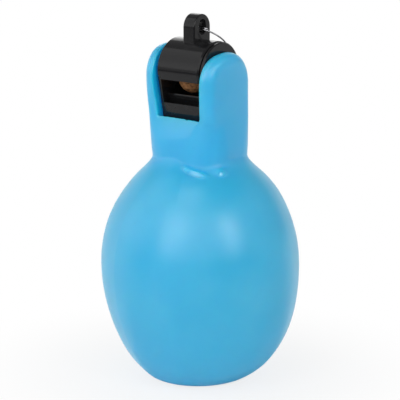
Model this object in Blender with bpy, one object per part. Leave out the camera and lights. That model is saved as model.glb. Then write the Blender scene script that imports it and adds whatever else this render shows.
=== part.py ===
"""Hand whistle: a soft squeeze bulb that blows the pea whistle held in its neck.

Metres, +Z up. The origin is the middle of the bulb's flat foot. X runs along the whistle's barrel,
and -Y is the side of the sound window. The whistle's own pieces are modelled round the barrel's axis
and hang on one empty, which lifts them all out of the neck together.
"""

import math

import bmesh
import bpy
from mathutils import Matrix, Vector

# Clearances
FIT_GAP = 0.0003  # between pieces that touch
PEA_GAP = 0.0003  # between the pea and the chamber it rolls in
RING_TURN_GAP = 0.00045  # between the two ends of the ring where they lie side by side

# Squeeze bulb
BULB_RADIUS = 0.0389
BELLY_HEIGHT = 0.0458
FOOT_RADIUS = 0.0180
BULB_WALL = 0.0025
SHOULDER_HEIGHT = 0.0874  # where the dome would meet the sides of the neck
BELLY_FULLNESS = 2.6  # root of the lower half's curve; 2 is an ellipse, more is fuller

# Neck of the bulb, with the two ears that hold the whistle
NECK_LENGTH = 0.0176  # from the shoulder up to the floor of the slot
NECK_WALL = 0.0042  # front wall at the floor of the slot
NECK_CORNER = 0.0040  # at the floor of the slot and up the ears
NECK_FOOT_CORNER = 0.0110  # at the shoulder, where the neck is nearly round
NECK_SWELL_X = 0.0014  # how far the neck's foot stands out beyond its square top, to the sides
NECK_SWELL_Y = 0.0017  # and to the front and the back
NECK_FILLET = 0.0020  # width of the hollow curve between dome and neck
EAR_THICKNESS = 0.0050
EAR_SPRING = 0.0130  # widest place of an ear above the floor of the slot
EAR_RISE = 0.0252  # top of an ear above the floor of the slot
EAR_FLARE = 0.0003  # how far an ear stands out in front of the slot's floor, and behind it
EAR_EDGE = 0.0044  # rounding of an ear's outer edge
EAR_FULLNESS = 2.3  # power of the ears' arch; 2 is an ellipse, more is squarer
EAR_SPLAY = 0.0015  # how far an ear's top bends away from the whistle
SPLAY_POWER = 4  # the bend grows with this power of the height
SOCKET_RUNOUT = 0.0040  # how far the mouthpiece socket runs on below the mouthpiece

# Whistle: barrel, mouthpiece and window
WHISTLE_WIDTH = 0.0202
BARREL_RADIUS = 0.0120
BARREL_RISE = 0.0171  # barrel axis above the floor of the slot
BARREL_OFFSET = -0.0015  # barrel axis, along Y
SHELL_WALL = 0.0016
FACE_TILT = math.radians(11.5)  # taper of the mouthpiece's front and back
MOUTHPIECE_DEPTH = 0.0200  # length of mouthpiece inside the neck
WINDOW_DROP = 0.0028  # upper edge of the window below the barrel axis
WINDOW_HEIGHT = 0.0092
WINDWAY_EXIT = 0.0020
WINDWAY_INLET = 0.0040
BLOCK_RISE = 0.0033  # top of the block behind the windway, above the window's lower edge
CORE_FLOOR = 0.0060  # solid length left at the mouthpiece's tip below the cored pocket
EDGE_ROUND = 0.0005

# Side plate that closes the right end of the whistle
PLATE_THICKNESS = 0.0010
PLATE_INSET = 0.0002  # step between the plate's rim and the body's
PLATE_EDGE = 0.0003
PLATE_SPIGOT = 0.0008  # how far its disc reaches into the barrel

# Loop on top of the barrel
LOOP_THICKNESS = 0.0052
LOOP_DEPTH = 0.0102
LOOP_HEIGHT = 0.0098
LOOP_HOLE_WIDTH = 0.0043
LOOP_HOLE_HEIGHT = 0.0059
LOOP_CROWN = 0.00195  # wall above the hole
LOOP_EDGE = 0.0006

# Cork pea
PEA_RADIUS = 0.0063
PEA_SIDE = -0.0010  # where it lies along the barrel

# Wire ring through the loop
RING_RADIUS = 0.0080  # to the middle of the wire
WIRE_RADIUS = 0.00038
RING_START = math.radians(-12)  # angles along the ring from the loop's hole
RING_END = math.radians(394)

# Limits of the modelling
ROUND_SHARE = 0.95  # a rounding takes at most this share of the half it rounds
SMOOTH_ANGLE = math.radians(32)  # edges flatter than this are shaded smooth
SHARP_ANGLE = math.radians(30)  # edges sharper than this are rounded
ARCH_END = math.radians(80)  # the last ring over the ears; the flat cap closes the rest
MERGE_DISTANCE = 1e-6
LEAN_STEP = math.radians(0.2)

# Counts
CORNER_STEPS = 4
SIDE_STEPS = 4
DOME_STEPS = 11
FILLET_STEPS = 8
EAR_STEPS = 4
ARCH_STEPS = 9
HOLLOW_STEPS = 10
HOLLOW_SEGMENTS = 32
BARREL_STEPS = 44
LOOP_STEPS = 14
EDGE_SEGMENTS = 2
PEA_SUBDIVISIONS = 3
RING_STEPS = 56
WIRE_RESOLUTION = 1

# Places that follow from the sizes above
SLOT_FLOOR = SHOULDER_HEIGHT + NECK_LENGTH
EAR_TOP = SLOT_FLOOR + EAR_RISE
BARREL_HEIGHT = SLOT_FLOOR + BARREL_RISE
HALF_WIDTH = WHISTLE_WIDTH / 2
CHAMBER_RADIUS = BARREL_RADIUS - SHELL_WALL
SLOT_HALF = HALF_WIDTH + FIT_GAP
NECK_HALF_X = SLOT_HALF + EAR_THICKNESS
TIP_DROP = BARREL_RISE + MOUTHPIECE_DEPTH
SEAM_X = HALF_WIDTH - PLATE_THICKNESS
LOOP_TOP = BARREL_RADIUS + LOOP_HEIGHT
HOLE_MIDDLE = LOOP_TOP - LOOP_CROWN - LOOP_HOLE_HEIGHT / 2
PEA_DROP = CHAMBER_RADIUS - PEA_RADIUS - PEA_GAP
FILLET_LEAD = NECK_FILLET * 1.5  # height below the shoulder where the close rings start
FILLET_TRAIL = NECK_FILLET / 2  # height above the dome's peak where they end
# A cutter reaches this far past the material that it cuts.
REACH = BULB_RADIUS


def front_face(drop, inset=0.0):
    """Y of the whistle's flat front face, a drop below the barrel axis."""
    return -BARREL_RADIUS + drop * math.tan(FACE_TILT) + inset / math.cos(FACE_TILT)


def back_face(drop, inset=0.0):
    """Y of the whistle's flat back face, which leaves the barrel on its tangent."""
    return (BARREL_RADIUS - inset) / math.cos(FACE_TILT) - drop * math.tan(FACE_TILT)


def clear_scene():
    for item in list(bpy.data.objects):
        bpy.data.objects.remove(item)


def finish(name, colour, roughness, metallic=0.0):
    """A plain material with the piece's own colour and gloss."""
    material = bpy.data.materials.new(name)
    material.use_nodes = True
    shader = material.node_tree.nodes["Principled BSDF"]
    shader.inputs["Base Color"].default_value = (*colour, 1.0)
    shader.inputs["Roughness"].default_value = roughness
    shader.inputs["Metallic"].default_value = metallic
    return material


def place(data, name, parent=None, location=(0, 0, 0)):
    """Puts mesh or curve data in the scene as a named object."""
    item = bpy.data.objects.new(name, data)
    bpy.context.scene.collection.objects.link(item)
    item.parent = parent
    item.location = location
    return item


def solid(bm, name, parent=None, location=(0, 0, 0)):
    """Turns a bmesh into an object, with round faces shaded smooth."""
    bmesh.ops.recalc_face_normals(bm, faces=bm.faces)
    mesh = bpy.data.meshes.new(name)
    bm.to_mesh(mesh)
    bm.free()
    mesh.shade_smooth()
    mesh.set_sharp_from_angle(angle=SMOOTH_ANGLE)
    return place(mesh, name, parent, location)


def combine(item, tool, operation):
    """Adds or cuts a helper solid, which stays in the file as a wire guide."""
    tool.hide_render = True
    tool.display_type = "WIRE"
    modifier = item.modifiers.new(tool.name, "BOOLEAN")
    modifier.operation = operation
    modifier.solver = "EXACT"
    modifier.object = tool


def arc(centre_y, centre_z, radius, start, end, steps):
    """Points (y, z) along a circle, both ends included."""
    angles = [start + (end - start) * step / steps for step in range(steps + 1)]
    return [(centre_y + radius * math.cos(a), centre_z + radius * math.sin(a)) for a in angles]


def prism(outline, left, right, edge=0.0):
    """A (y, z) outline pulled along X from left to right, its sharp edges rounded by edge."""
    bm = bmesh.new()
    face = bm.faces.new([bm.verts.new((left, y, z)) for y, z in outline])
    pulled = bmesh.ops.extrude_face_region(bm, geom=[face])["geom"]
    moved = [item for item in pulled if isinstance(item, bmesh.types.BMVert)]
    bmesh.ops.translate(bm, verts=moved, vec=(right - left, 0, 0))
    bmesh.ops.recalc_face_normals(bm, faces=bm.faces)
    if edge:
        sharp = [e for e in bm.edges if e.calc_face_angle() > SHARP_ANGLE]
        bmesh.ops.bevel(
            bm, geom=sharp, offset=edge, segments=EDGE_SEGMENTS, profile=0.5, affect="EDGES", material=-1
        )
    return bm


def disc_outline(radius):
    return arc(0, 0, radius, 0, math.tau * (1 - 1 / BARREL_STEPS), BARREL_STEPS - 1)


def foot_angle():
    """Angle of the flat foot's rim on the lower half's curve, from the belly."""
    return math.asin(math.sqrt(1 - (FOOT_RADIUS / BULB_RADIUS) ** BELLY_FULLNESS))


def dome_drop():
    """Depth that the lower half's curve would have without the flat foot."""
    return BELLY_HEIGHT / math.sin(foot_angle())


def dome_rise():
    """Height of the whole upper half ellipse above the belly."""
    foot = NECK_HALF_X + NECK_SWELL_X
    return (SHOULDER_HEIGHT - BELLY_HEIGHT) / math.sqrt(1 - (foot / BULB_RADIUS) ** 2)


def dome_radius(height, wall=0.0):
    """Radius of the bulb at a height: a full lower curve and a half ellipse that meet at the belly."""
    below = height < BELLY_HEIGHT
    share = (height - BELLY_HEIGHT) / ((dome_drop() if below else dome_rise()) - wall)
    root = BELLY_FULLNESS if below else 2
    return (BULB_RADIUS - wall) * max(0.0, 1 - share**2) ** (1 / root)


def neck_lean(height):
    """Y of the neck's middle: on the bulb's axis at the shoulder, on the barrel's axis beside it."""
    share = (height - SHOULDER_HEIGHT) / (BARREL_HEIGHT - SHOULDER_HEIGHT)
    return BARREL_OFFSET * min(1.0, max(0.0, share))


def foot_share(height):
    """How much of the neck's round foot shows at a height: all at the shoulder, none from the slot up."""
    return min(1.0, max(0.0, (SLOT_FLOOR - height) / NECK_LENGTH))


def neck_half_depth(height):
    """Half the neck's depth along Y: drawn in up to the slot, a slight flare, then the ears' arch."""
    wall_front = front_face(BARREL_RISE) + BARREL_OFFSET - neck_lean(SLOT_FLOOR)
    at_floor = NECK_WALL + FIT_GAP - wall_front
    spring = SLOT_FLOOR + EAR_SPRING
    if height > spring:
        share = (height - spring) / (EAR_TOP - spring)
        arch = max(0.0, 1 - share**EAR_FULLNESS) ** (1 / EAR_FULLNESS)
        return (at_floor + EAR_FLARE) * arch
    flare = EAR_FLARE * max(0.0, (height - SLOT_FLOOR) / EAR_SPRING)
    return at_floor + NECK_SWELL_Y * foot_share(height) + flare


def ear_splay(height):
    """How far the ears bend outwards at a height."""
    share = min(1.0, max(0.0, (height - SLOT_FLOOR) / EAR_RISE))
    return EAR_SPLAY * share**SPLAY_POWER


def neck_half_width(height):
    """Half the neck's width along X, bent outwards and rounded over at the ears' tops."""
    edge = min(EAR_EDGE, ROUND_SHARE * EAR_THICKNESS)
    over = max(0.0, height - (EAR_TOP - edge))
    round_off = edge - math.sqrt(max(0.0, edge**2 - over**2))
    return NECK_HALF_X + NECK_SWELL_X * foot_share(height) + ear_splay(height) - round_off


def neck_section(height):
    """A rounded rectangle (x, y) round the neck's middle, from +X round by +Y."""
    half_x = neck_half_width(height)
    half_y = neck_half_depth(height)
    corner = NECK_CORNER + (NECK_FOOT_CORNER - NECK_CORNER) * foot_share(height)
    corner = min(corner, ROUND_SHARE * half_y)
    flat_x = half_x - corner
    flat_y = half_y - corner
    quarter = [(half_x, flat_y * step / SIDE_STEPS) for step in range(SIDE_STEPS)]
    quarter += arc(flat_x, flat_y, corner, 0, math.pi / 2, CORNER_STEPS)
    quarter += [(flat_x * (1 - step / SIDE_STEPS), half_y) for step in range(1, SIDE_STEPS + 1)]
    back = [(-x, y) for x, y in reversed(quarter)]
    points = quarter[:-1] + back[:-1]
    points += [(-x, -y) for x, y in points]
    return [(x, y + neck_lean(height)) for x, y in points]


def larger_blended(first, second, width):
    """The larger of two radii, with a hollow curve where they cross."""
    near = max(0.0, width - abs(first - second)) / width
    return max(first, second) + near * near * width / 4


def skin_ring(height):
    """One ring of the bulb's outside: the dome's circle or the neck's section, blended."""
    ring = []
    for x, y in neck_section(height):
        reach = math.hypot(x, y)
        radius = dome_radius(height)
        if height > BELLY_HEIGHT:
            radius = larger_blended(reach, radius, NECK_FILLET)
        ring.append(Vector((x * radius / reach, y * radius / reach, height)))
    return ring


def skin_heights():
    """Heights of the rings, close together at the fillet and over the ears' arch."""
    fillet_start = SHOULDER_HEIGHT - FILLET_LEAD
    fillet_end = BELLY_HEIGHT + dome_rise() + FILLET_TRAIL
    start_angle = math.asin((fillet_start - BELLY_HEIGHT) / dome_rise())
    spring = SLOT_FLOOR + EAR_SPRING
    shares = [n / DOME_STEPS for n in range(DOME_STEPS)]
    heights = [BELLY_HEIGHT - dome_drop() * math.sin(foot_angle() * (1 - share)) for share in shares]
    heights += [BELLY_HEIGHT + dome_rise() * math.sin(start_angle * share) for share in shares]
    heights += [fillet_start + (fillet_end - fillet_start) * n / FILLET_STEPS for n in range(FILLET_STEPS)]
    heights += [fillet_end, (fillet_end + SLOT_FLOOR) / 2]
    heights += [SLOT_FLOOR + EAR_SPRING * n / EAR_STEPS for n in range(EAR_STEPS)]
    arch = EAR_TOP - spring
    heights += [spring + arch * math.sin(ARCH_END * n / ARCH_STEPS) for n in range(ARCH_STEPS + 1)]
    return heights


def loft(rings):
    """A closed solid through rings of points that match one to one."""
    bm = bmesh.new()
    loops = []
    for ring in rings:
        verts = [bm.verts.new(point) for point in ring]
        ends = zip(verts, verts[1:] + verts[:1])
        loops.append([bm.edges.new(pair) for pair in ends])
    for lower, upper in zip(loops, loops[1:]):
        bmesh.ops.bridge_loops(bm, edges=lower + upper)
    for loop in (loops[0], loops[-1]):
        bmesh.ops.contextual_create(bm, geom=loop)
    return bm


def bulb_hollow():
    """The air space: the dome's shape, one wall inside it, turned about Z."""
    bm = bmesh.new()
    top = BELLY_HEIGHT + dome_rise() - BULB_WALL
    heights = [BULB_WALL + (BELLY_HEIGHT - BULB_WALL) * n / HOLLOW_STEPS for n in range(HOLLOW_STEPS)]
    quarter = [math.pi / 2 * n / HOLLOW_STEPS for n in range(HOLLOW_STEPS)]
    heights += [BELLY_HEIGHT + (top - BELLY_HEIGHT) * math.sin(angle) for angle in quarter]
    profile = [(0, BULB_WALL)] + [(dome_radius(z, BULB_WALL), z) for z in heights] + [(0, top)]
    verts = [bm.verts.new((x, 0, z)) for x, z in profile]
    edges = [bm.edges.new(pair) for pair in zip(verts, verts[1:])]
    bmesh.ops.spin(
        bm, geom=verts + edges, axis=(0, 0, 1), angle=math.tau, steps=HOLLOW_SEGMENTS, use_merge=True
    )
    bmesh.ops.remove_doubles(bm, verts=bm.verts, dist=MERGE_DISTANCE)
    return solid(bm, "bulb_hollow_cutter")


def slot_cutter():
    """The slot between the ears, open to the front, the back and the top."""
    heights = [SLOT_FLOOR + EAR_RISE * n / ARCH_STEPS for n in range(ARCH_STEPS + 1)]
    side = [(SLOT_HALF + ear_splay(height), height) for height in heights]
    side.append((SLOT_HALF + EAR_SPLAY, EAR_TOP + REACH))
    bm = prism(side + [(-x, z) for x, z in reversed(side)], -REACH, REACH)
    bmesh.ops.rotate(bm, verts=bm.verts, matrix=Matrix.Rotation(math.pi / 2, 3, "Z"))
    return solid(bm, "slot_cutter")


def socket_cutter():
    """The tapered socket under the slot, which grips the mouthpiece and opens into the bulb."""
    gap = FIT_GAP / math.cos(FACE_TILT)
    high = BARREL_RISE - SHELL_WALL
    low = TIP_DROP + SOCKET_RUNOUT
    front = [(front_face(drop) - gap, -drop) for drop in (high, low)]
    back = [(back_face(drop) + gap, -drop) for drop in (low, high)]
    bm = prism(front + back, -SLOT_HALF, SLOT_HALF)
    return solid(bm, "socket_cutter", location=(0, BARREL_OFFSET, BARREL_HEIGHT))


def squeeze_bulb():
    """One soft moulding: a hollow dome on a flat foot, a square neck and two ears."""
    bulb = solid(loft([skin_ring(height) for height in skin_heights()]), "squeeze_bulb")
    combine(bulb, slot_cutter(), "DIFFERENCE")
    combine(bulb, socket_cutter(), "DIFFERENCE")
    combine(bulb, bulb_hollow(), "DIFFERENCE")
    bulb.data.materials.append(finish("soft_blue_vinyl", (0.067, 0.445, 0.716), 0.42))


def whistle_outline(inset=0.0):
    """Side view of the whistle: the barrel's round, its flat front, and the tapered mouthpiece."""
    radius = BARREL_RADIUS - inset
    face_distance = BARREL_RADIUS * math.cos(FACE_TILT) - inset
    end = math.pi + FACE_TILT - math.acos(face_distance / radius)
    points = arc(0, 0, radius, -FACE_TILT, end, BARREL_STEPS)
    tip = TIP_DROP - inset
    return points + [(front_face(tip, inset), -tip), (back_face(tip, inset), -tip)]


def loop_outline():
    """The loop's tab: straight sides from inside the barrel's wall, and a full round top."""
    half = LOOP_DEPTH / 2
    foot = math.sqrt(BARREL_RADIUS**2 - half**2) - SHELL_WALL / 2
    return [(-half, foot), (half, foot)] + arc(0, LOOP_TOP - half, half, 0, math.pi, LOOP_STEPS)


def loop_hole_outline():
    """A slot with round ends."""
    radius = LOOP_HOLE_WIDTH / 2
    rise = LOOP_HOLE_HEIGHT / 2 - radius
    upper = arc(0, HOLE_MIDDLE + rise, radius, 0, math.pi, LOOP_STEPS)
    lower = arc(0, HOLE_MIDDLE - rise, radius, math.pi, math.tau, LOOP_STEPS)
    return upper + lower


def windway_back(drop):
    """Y of the windway's rear wall, which opens towards the mouthpiece's tip."""
    window_bottom = WINDOW_DROP + WINDOW_HEIGHT
    share = (drop - window_bottom) / (TIP_DROP - window_bottom)
    opening = WINDWAY_EXIT + (WINDWAY_INLET - WINDWAY_EXIT) * share
    return front_face(drop, SHELL_WALL) + opening


def windway_outline():
    """The air's way: up the mouthpiece behind its front wall, and out across the window."""
    window_bottom = WINDOW_DROP + WINDOW_HEIGHT
    past_tip = TIP_DROP + SHELL_WALL
    block_top = window_bottom - BLOCK_RISE
    return [
        (-REACH, -WINDOW_DROP),
        (-REACH, -window_bottom),
        (front_face(window_bottom, SHELL_WALL), -window_bottom),
        (front_face(past_tip, SHELL_WALL), -past_tip),
        (windway_back(past_tip), -past_tip),
        (windway_back(block_top), -block_top),
        (0, -block_top),
        (0, -WINDOW_DROP),
    ]


def core_outline():
    """The pocket cored out of the mouthpiece's thick part, between windway and back wall."""
    low = TIP_DROP - CORE_FLOOR
    high = WINDOW_DROP
    window_bottom = WINDOW_DROP + WINDOW_HEIGHT
    return [
        (windway_back(low) + SHELL_WALL, -low),
        (back_face(low, SHELL_WALL), -low),
        (back_face(high, SHELL_WALL), -high),
        (windway_back(window_bottom) + SHELL_WALL, -high),
        (windway_back(window_bottom) + SHELL_WALL, -window_bottom),
    ]


def whistle_body(whistle, black):
    """Barrel, left wall, mouthpiece and loop in one moulding, open on the right."""
    inner_left = -HALF_WIDTH + SHELL_WALL
    right = SEAM_X - FIT_GAP
    body = solid(prism(whistle_outline(), -HALF_WIDTH, right, EDGE_ROUND), "whistle_body", whistle)
    half_loop = LOOP_THICKNESS / 2
    loop = solid(prism(loop_outline(), -half_loop, half_loop, LOOP_EDGE), "loop_blank", whistle)
    chamber = solid(prism(disc_outline(CHAMBER_RADIUS), inner_left, REACH), "chamber_cutter", whistle)
    windway = solid(prism(windway_outline(), inner_left, REACH), "windway_cutter", whistle)
    core = solid(prism(core_outline(), inner_left, REACH), "core_cutter", whistle)
    floor_wall = solid(prism(disc_outline(BARREL_RADIUS), -REACH, 2 * REACH), "floor_wall_guide", whistle)
    hole = solid(prism(loop_hole_outline(), -REACH, REACH), "loop_hole_cutter", whistle)
    combine(core, floor_wall, "DIFFERENCE")
    combine(body, loop, "UNION")
    combine(body, chamber, "DIFFERENCE")
    combine(body, windway, "DIFFERENCE")
    combine(body, core, "DIFFERENCE")
    combine(body, hole, "DIFFERENCE")
    body.data.materials.append(black)


def side_plate(whistle, black):
    """The plate on the right end, with a disc that plugs into the barrel."""
    plate = prism(whistle_outline(PLATE_INSET), SEAM_X, HALF_WIDTH, PLATE_EDGE)
    plate = solid(plate, "side_plate", whistle)
    disc = disc_outline(CHAMBER_RADIUS - FIT_GAP)
    middle = SEAM_X + PLATE_THICKNESS / 2
    spigot = solid(prism(disc, SEAM_X - PLATE_SPIGOT, middle), "spigot_blank", whistle)
    combine(plate, spigot, "UNION")
    plate.data.materials.append(black)


def cork_pea(whistle):
    """The pea, lying at the bottom of the chamber; its origin is on the barrel axis."""
    bm = bmesh.new()
    rest = Matrix.Translation((PEA_SIDE, 0, -PEA_DROP))
    bmesh.ops.create_icosphere(bm, subdivisions=PEA_SUBDIVISIONS, radius=PEA_RADIUS, matrix=rest)
    pea = solid(bm, "cork_pea", whistle)
    pea.data.materials.append(finish("cork", (0.23, 0.11, 0.05), 0.85))


def ring_point(angle, lean):
    """A point of the wire from the loop's hole, with the ring leaning back below level by lean."""
    out = Vector((0, math.cos(lean), -math.sin(lean)))
    across = Vector((0, math.sin(lean), math.cos(lean)))
    pitch = 2 * WIRE_RADIUS + RING_TURN_GAP
    along = out * RING_RADIUS * (1 - math.cos(angle)) + across * pitch * (angle / math.tau - 0.5)
    return along + Vector((RING_RADIUS * math.sin(angle), 0, 0))


def ring_points(lean):
    span = RING_END - RING_START
    return [ring_point(RING_START + span * n / RING_STEPS, lean) for n in range(RING_STEPS + 1)]


def ring_rest_lean():
    """How far the ring drops back before its wire lies on the barrel."""
    clear = BARREL_RADIUS + WIRE_RADIUS + FIT_GAP
    lean = math.pi / 2
    while lean > -math.pi / 2:
        if all(math.hypot(p.y, p.z + HOLE_MIDDLE) >= clear for p in ring_points(lean)):
            break
        lean -= LEAN_STEP
    return lean


def split_ring(whistle):
    """One wire bent round a little more than once, its ends side by side; it swings in the hole."""
    lean = ring_rest_lean()
    points = ring_points(lean)
    half_turn = RING_STEPS // 2
    pairs = [(a, b) for i, a in enumerate(points) for b in points[i + half_turn :]]
    gap = min((a - b).length for a, b in pairs) - 2 * WIRE_RADIUS
    print(f"split_ring: leans {math.degrees(lean):.1f} degrees, least gap between its turns {gap * 1000:.2f} mm")
    curve = bpy.data.curves.new("split_ring", "CURVE")
    curve.dimensions = "3D"
    curve.bevel_depth = WIRE_RADIUS
    curve.bevel_resolution = WIRE_RESOLUTION
    curve.use_fill_caps = True
    spline = curve.splines.new("POLY")
    spline.points.add(len(points) - 1)
    for target, point in zip(spline.points, points):
        target.co = (*point, 1.0)
    ring = place(curve, "split_ring", whistle, (0, 0, HOLE_MIDDLE))
    ring.data.materials.append(finish("bright_steel", (0.55, 0.55, 0.56), 0.22, 1.0))


def main():
    clear_scene()
    squeeze_bulb()
    whistle = place(None, "whistle", location=(0, BARREL_OFFSET, BARREL_HEIGHT))
    black = finish("black_plastic", (0.012, 0.012, 0.013), 0.3)
    whistle_body(whistle, black)
    side_plate(whistle, black)
    cork_pea(whistle)
    split_ring(whistle)


main()
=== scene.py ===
"""Dressed squeeze-bulb hand whistle: a soft blue bulb that blows the black pea whistle in its neck.

Metres, +Z up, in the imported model's own frame. X runs along the whistle's barrel, and -Y is the side of
the sound window. Every piece replaces the plain solid of the same name and rides on its body.
"""

import logging
import math
from dataclasses import dataclass, field
from enum import Enum
from typing import Callable, Iterable, Sequence, Union

import bmesh
import bpy
from bmesh.types import BMEdge, BMesh, BMVert
from bpy.types import Material, Node, NodeSocket, NodeTree, Object
from mathutils import Matrix, Vector, noise


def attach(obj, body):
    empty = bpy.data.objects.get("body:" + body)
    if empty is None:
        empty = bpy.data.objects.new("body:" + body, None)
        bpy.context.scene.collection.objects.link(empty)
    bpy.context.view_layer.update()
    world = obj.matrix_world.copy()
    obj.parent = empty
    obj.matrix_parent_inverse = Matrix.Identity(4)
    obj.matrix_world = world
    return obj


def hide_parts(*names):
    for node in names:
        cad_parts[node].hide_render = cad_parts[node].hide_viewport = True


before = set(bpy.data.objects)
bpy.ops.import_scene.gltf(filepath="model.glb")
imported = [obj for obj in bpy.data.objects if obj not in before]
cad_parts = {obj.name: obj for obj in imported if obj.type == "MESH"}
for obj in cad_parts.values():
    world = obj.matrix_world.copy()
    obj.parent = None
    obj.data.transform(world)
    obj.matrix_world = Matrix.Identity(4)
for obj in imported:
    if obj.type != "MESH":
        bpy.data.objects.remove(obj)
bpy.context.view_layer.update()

LOG = logging.getLogger("hand_whistle")
SocketValue = Union[float, Sequence[float], NodeSocket]
Point2 = tuple[float, float]
Colour = tuple[float, float, float]
TOUCH = 1e-5
WELD = 2e-6


class Body(Enum):
    """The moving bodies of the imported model."""

    BULB = "bulb"
    WHISTLE = "whistle"
    PEA = "pea"
    RING = "ring"


class Slot(Enum):
    """Names of the material slots."""

    VINYL = "soft_blue_vinyl"
    PLASTIC = "black_plastic"
    CORK = "cork"
    STEEL = "bright_steel"


class Side(Enum):
    """The two ears of the neck, by the sign of their X."""

    LEFT = -1
    RIGHT = 1


# Helpers for numbers


def ramp(value: float, low: float, high: float) -> float:
    """How far a value is on its way from low to high, from 0 to 1."""
    return min(1.0, max(0.0, (value - low) / (high - low)))


def ease(share: float) -> float:
    """A share that starts and ends gently."""
    return share * share * (3 - 2 * share)


def hump(offset: float, width: float, power: int = 2) -> float:
    """A bell curve of height 1 round nought."""
    return math.exp(-((offset / width) ** power))


# Helpers for meshes


def sheet(bm: BMesh, across: int, along: int, spot: Callable[[int, int], Vector]) -> None:
    """Adds a grid of faces and moves each of its points to its spot.

    Args:
        bm: The mesh that takes the grid.
        across: Faces in the first direction.
        along: Faces in the second direction.
        spot: Gives the place of a point from its two counts.
    """
    made = bmesh.ops.create_grid(bm, x_segments=across, y_segments=along, size=1.0)
    for vert in made["verts"]:
        first = round((vert.co.x + 1) / 2 * across)
        second = round((vert.co.y + 1) / 2 * along)
        vert.co = spot(first, second)


def arc(centre: Point2, radius: float, start: float, end: float, steps: int) -> list[Point2]:
    """Points along a circle in a side view.

    Args:
        centre: The circle's middle, as (y, z).
        radius: Its radius.
        start: Angle of the first point.
        end: Angle of the last point.
        steps: Steps between them.

    Returns:
        The points as (y, z), both ends included.
    """
    angles = [start + (end - start) * step / steps for step in range(steps + 1)]
    return [(centre[0] + radius * math.cos(a), centre[1] + radius * math.sin(a)) for a in angles]


def sharp_edges(bm: BMesh, degrees: float) -> list[BMEdge]:
    """The edges of a mesh that turn by more than an angle."""
    return [e for e in bm.edges if e.calc_face_angle(0.0) > math.radians(degrees)]


def bevel(bm: BMesh, edges: list[BMEdge], width: float, rounds: int) -> None:
    """Rounds edges of a mesh by a width, with some faces across."""
    bmesh.ops.bevel(bm, geom=edges, offset=width, segments=rounds, profile=0.5, affect="EDGES", material=-1)


def prism(outline: Sequence[Point2], left: float, right: float, edge: float = 0.0, rounds: int = 4) -> BMesh:
    """Pulls a side view along X and rounds its sharp edges.

    Args:
        outline: The side view, as (y, z) points.
        left: X of its left end.
        right: X of its right end.
        edge: Width of the rounding, or 0 for none.
        rounds: Faces across a rounding.

    Returns:
        The closed mesh.
    """
    bm = bmesh.new()
    face = bm.faces.new([bm.verts.new((left, y, z)) for y, z in outline])
    pulled = bmesh.ops.extrude_face_region(bm, geom=[face])["geom"]
    moved = [item for item in pulled if isinstance(item, BMVert)]
    bmesh.ops.translate(bm, verts=moved, vec=(right - left, 0, 0))
    bmesh.ops.recalc_face_normals(bm, faces=bm.faces)
    if edge:
        bevel(bm, sharp_edges(bm, 30), edge, rounds)
    return bm


def solid(bm: BMesh, name: str, shift: Sequence[float] = (0.0, 0.0, 0.0)) -> Object:
    """Turns a bmesh into an object at the origin.

    Args:
        bm: The mesh, which is used up.
        name: The object's name.
        shift: How far the mesh is moved to its place.

    Returns:
        The object, shaded smooth.
    """
    bmesh.ops.translate(bm, verts=bm.verts, vec=shift)
    bmesh.ops.recalc_face_normals(bm, faces=bm.faces)
    mesh = bpy.data.meshes.new(name)
    bm.to_mesh(mesh)
    bm.free()
    mesh.shade_smooth()
    piece = bpy.data.objects.new(name, mesh)
    bpy.context.scene.collection.objects.link(piece)
    return piece


def settle(piece: Object) -> None:
    """Makes an object's modifiers part of its mesh.

    Args:
        piece: The object.
    """
    bpy.context.view_layer.update()
    made = bpy.data.meshes.new_from_object(piece.evaluated_get(bpy.context.evaluated_depsgraph_get()))
    piece.modifiers.clear()
    piece.data = made


def combine(piece: Object, tool: Object, operation: str) -> None:
    """Adds or cuts a helper solid, which is then removed.

    Args:
        piece: The object that changes.
        tool: The helper.
        operation: UNION or DIFFERENCE.
    """
    modifier = piece.modifiers.new(tool.name, "BOOLEAN")
    modifier.operation = operation
    modifier.solver = "EXACT"
    modifier.object = tool
    settle(piece)
    bpy.data.objects.remove(tool)


def soften(piece: Object, chosen: Callable[[BMEdge], bool], width: float) -> None:
    """Rounds the edges of an object that a test picks.

    Args:
        piece: The object that changes.
        chosen: Says of an edge whether it is rounded.
        width: Width of the rounding.
    """
    bm = bmesh.new()
    bm.from_mesh(piece.data)
    bmesh.ops.remove_doubles(bm, verts=bm.verts, dist=1e-7)
    bevel(bm, [e for e in sharp_edges(bm, 50) if chosen(e)], width, 3)
    bm.to_mesh(piece.data)
    bm.free()


def crisp(piece: Object) -> None:
    """Keeps flat faces flat and round ones round on a hard piece.

    Args:
        piece: The piece.
    """
    piece.data.shade_smooth()
    piece.data.set_sharp_from_angle(angle=math.radians(35))
    weighted = piece.modifiers.new("flat_faces_first", "WEIGHTED_NORMAL")
    weighted.keep_sharp = True
    weighted.weight = 100


def seat(piece: Object, finish: Material, body: Body, slot: Slot, *nodes: str) -> None:
    """Gives a piece its finish, hands it to the frame and reports it.

    Args:
        piece: The finished piece.
        finish: Its material.
        body: The body that it moves with.
        slot: A name for its finish's slot; not used.
        nodes: The plain solids that it stands for.
    """
    piece.data.materials.append(finish)
    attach(piece, body.value)
    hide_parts(*nodes)
    LOG.info("%s: %d faces, on %s", piece.name, len(piece.data.polygons), body.value)


# Helpers for materials


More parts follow.
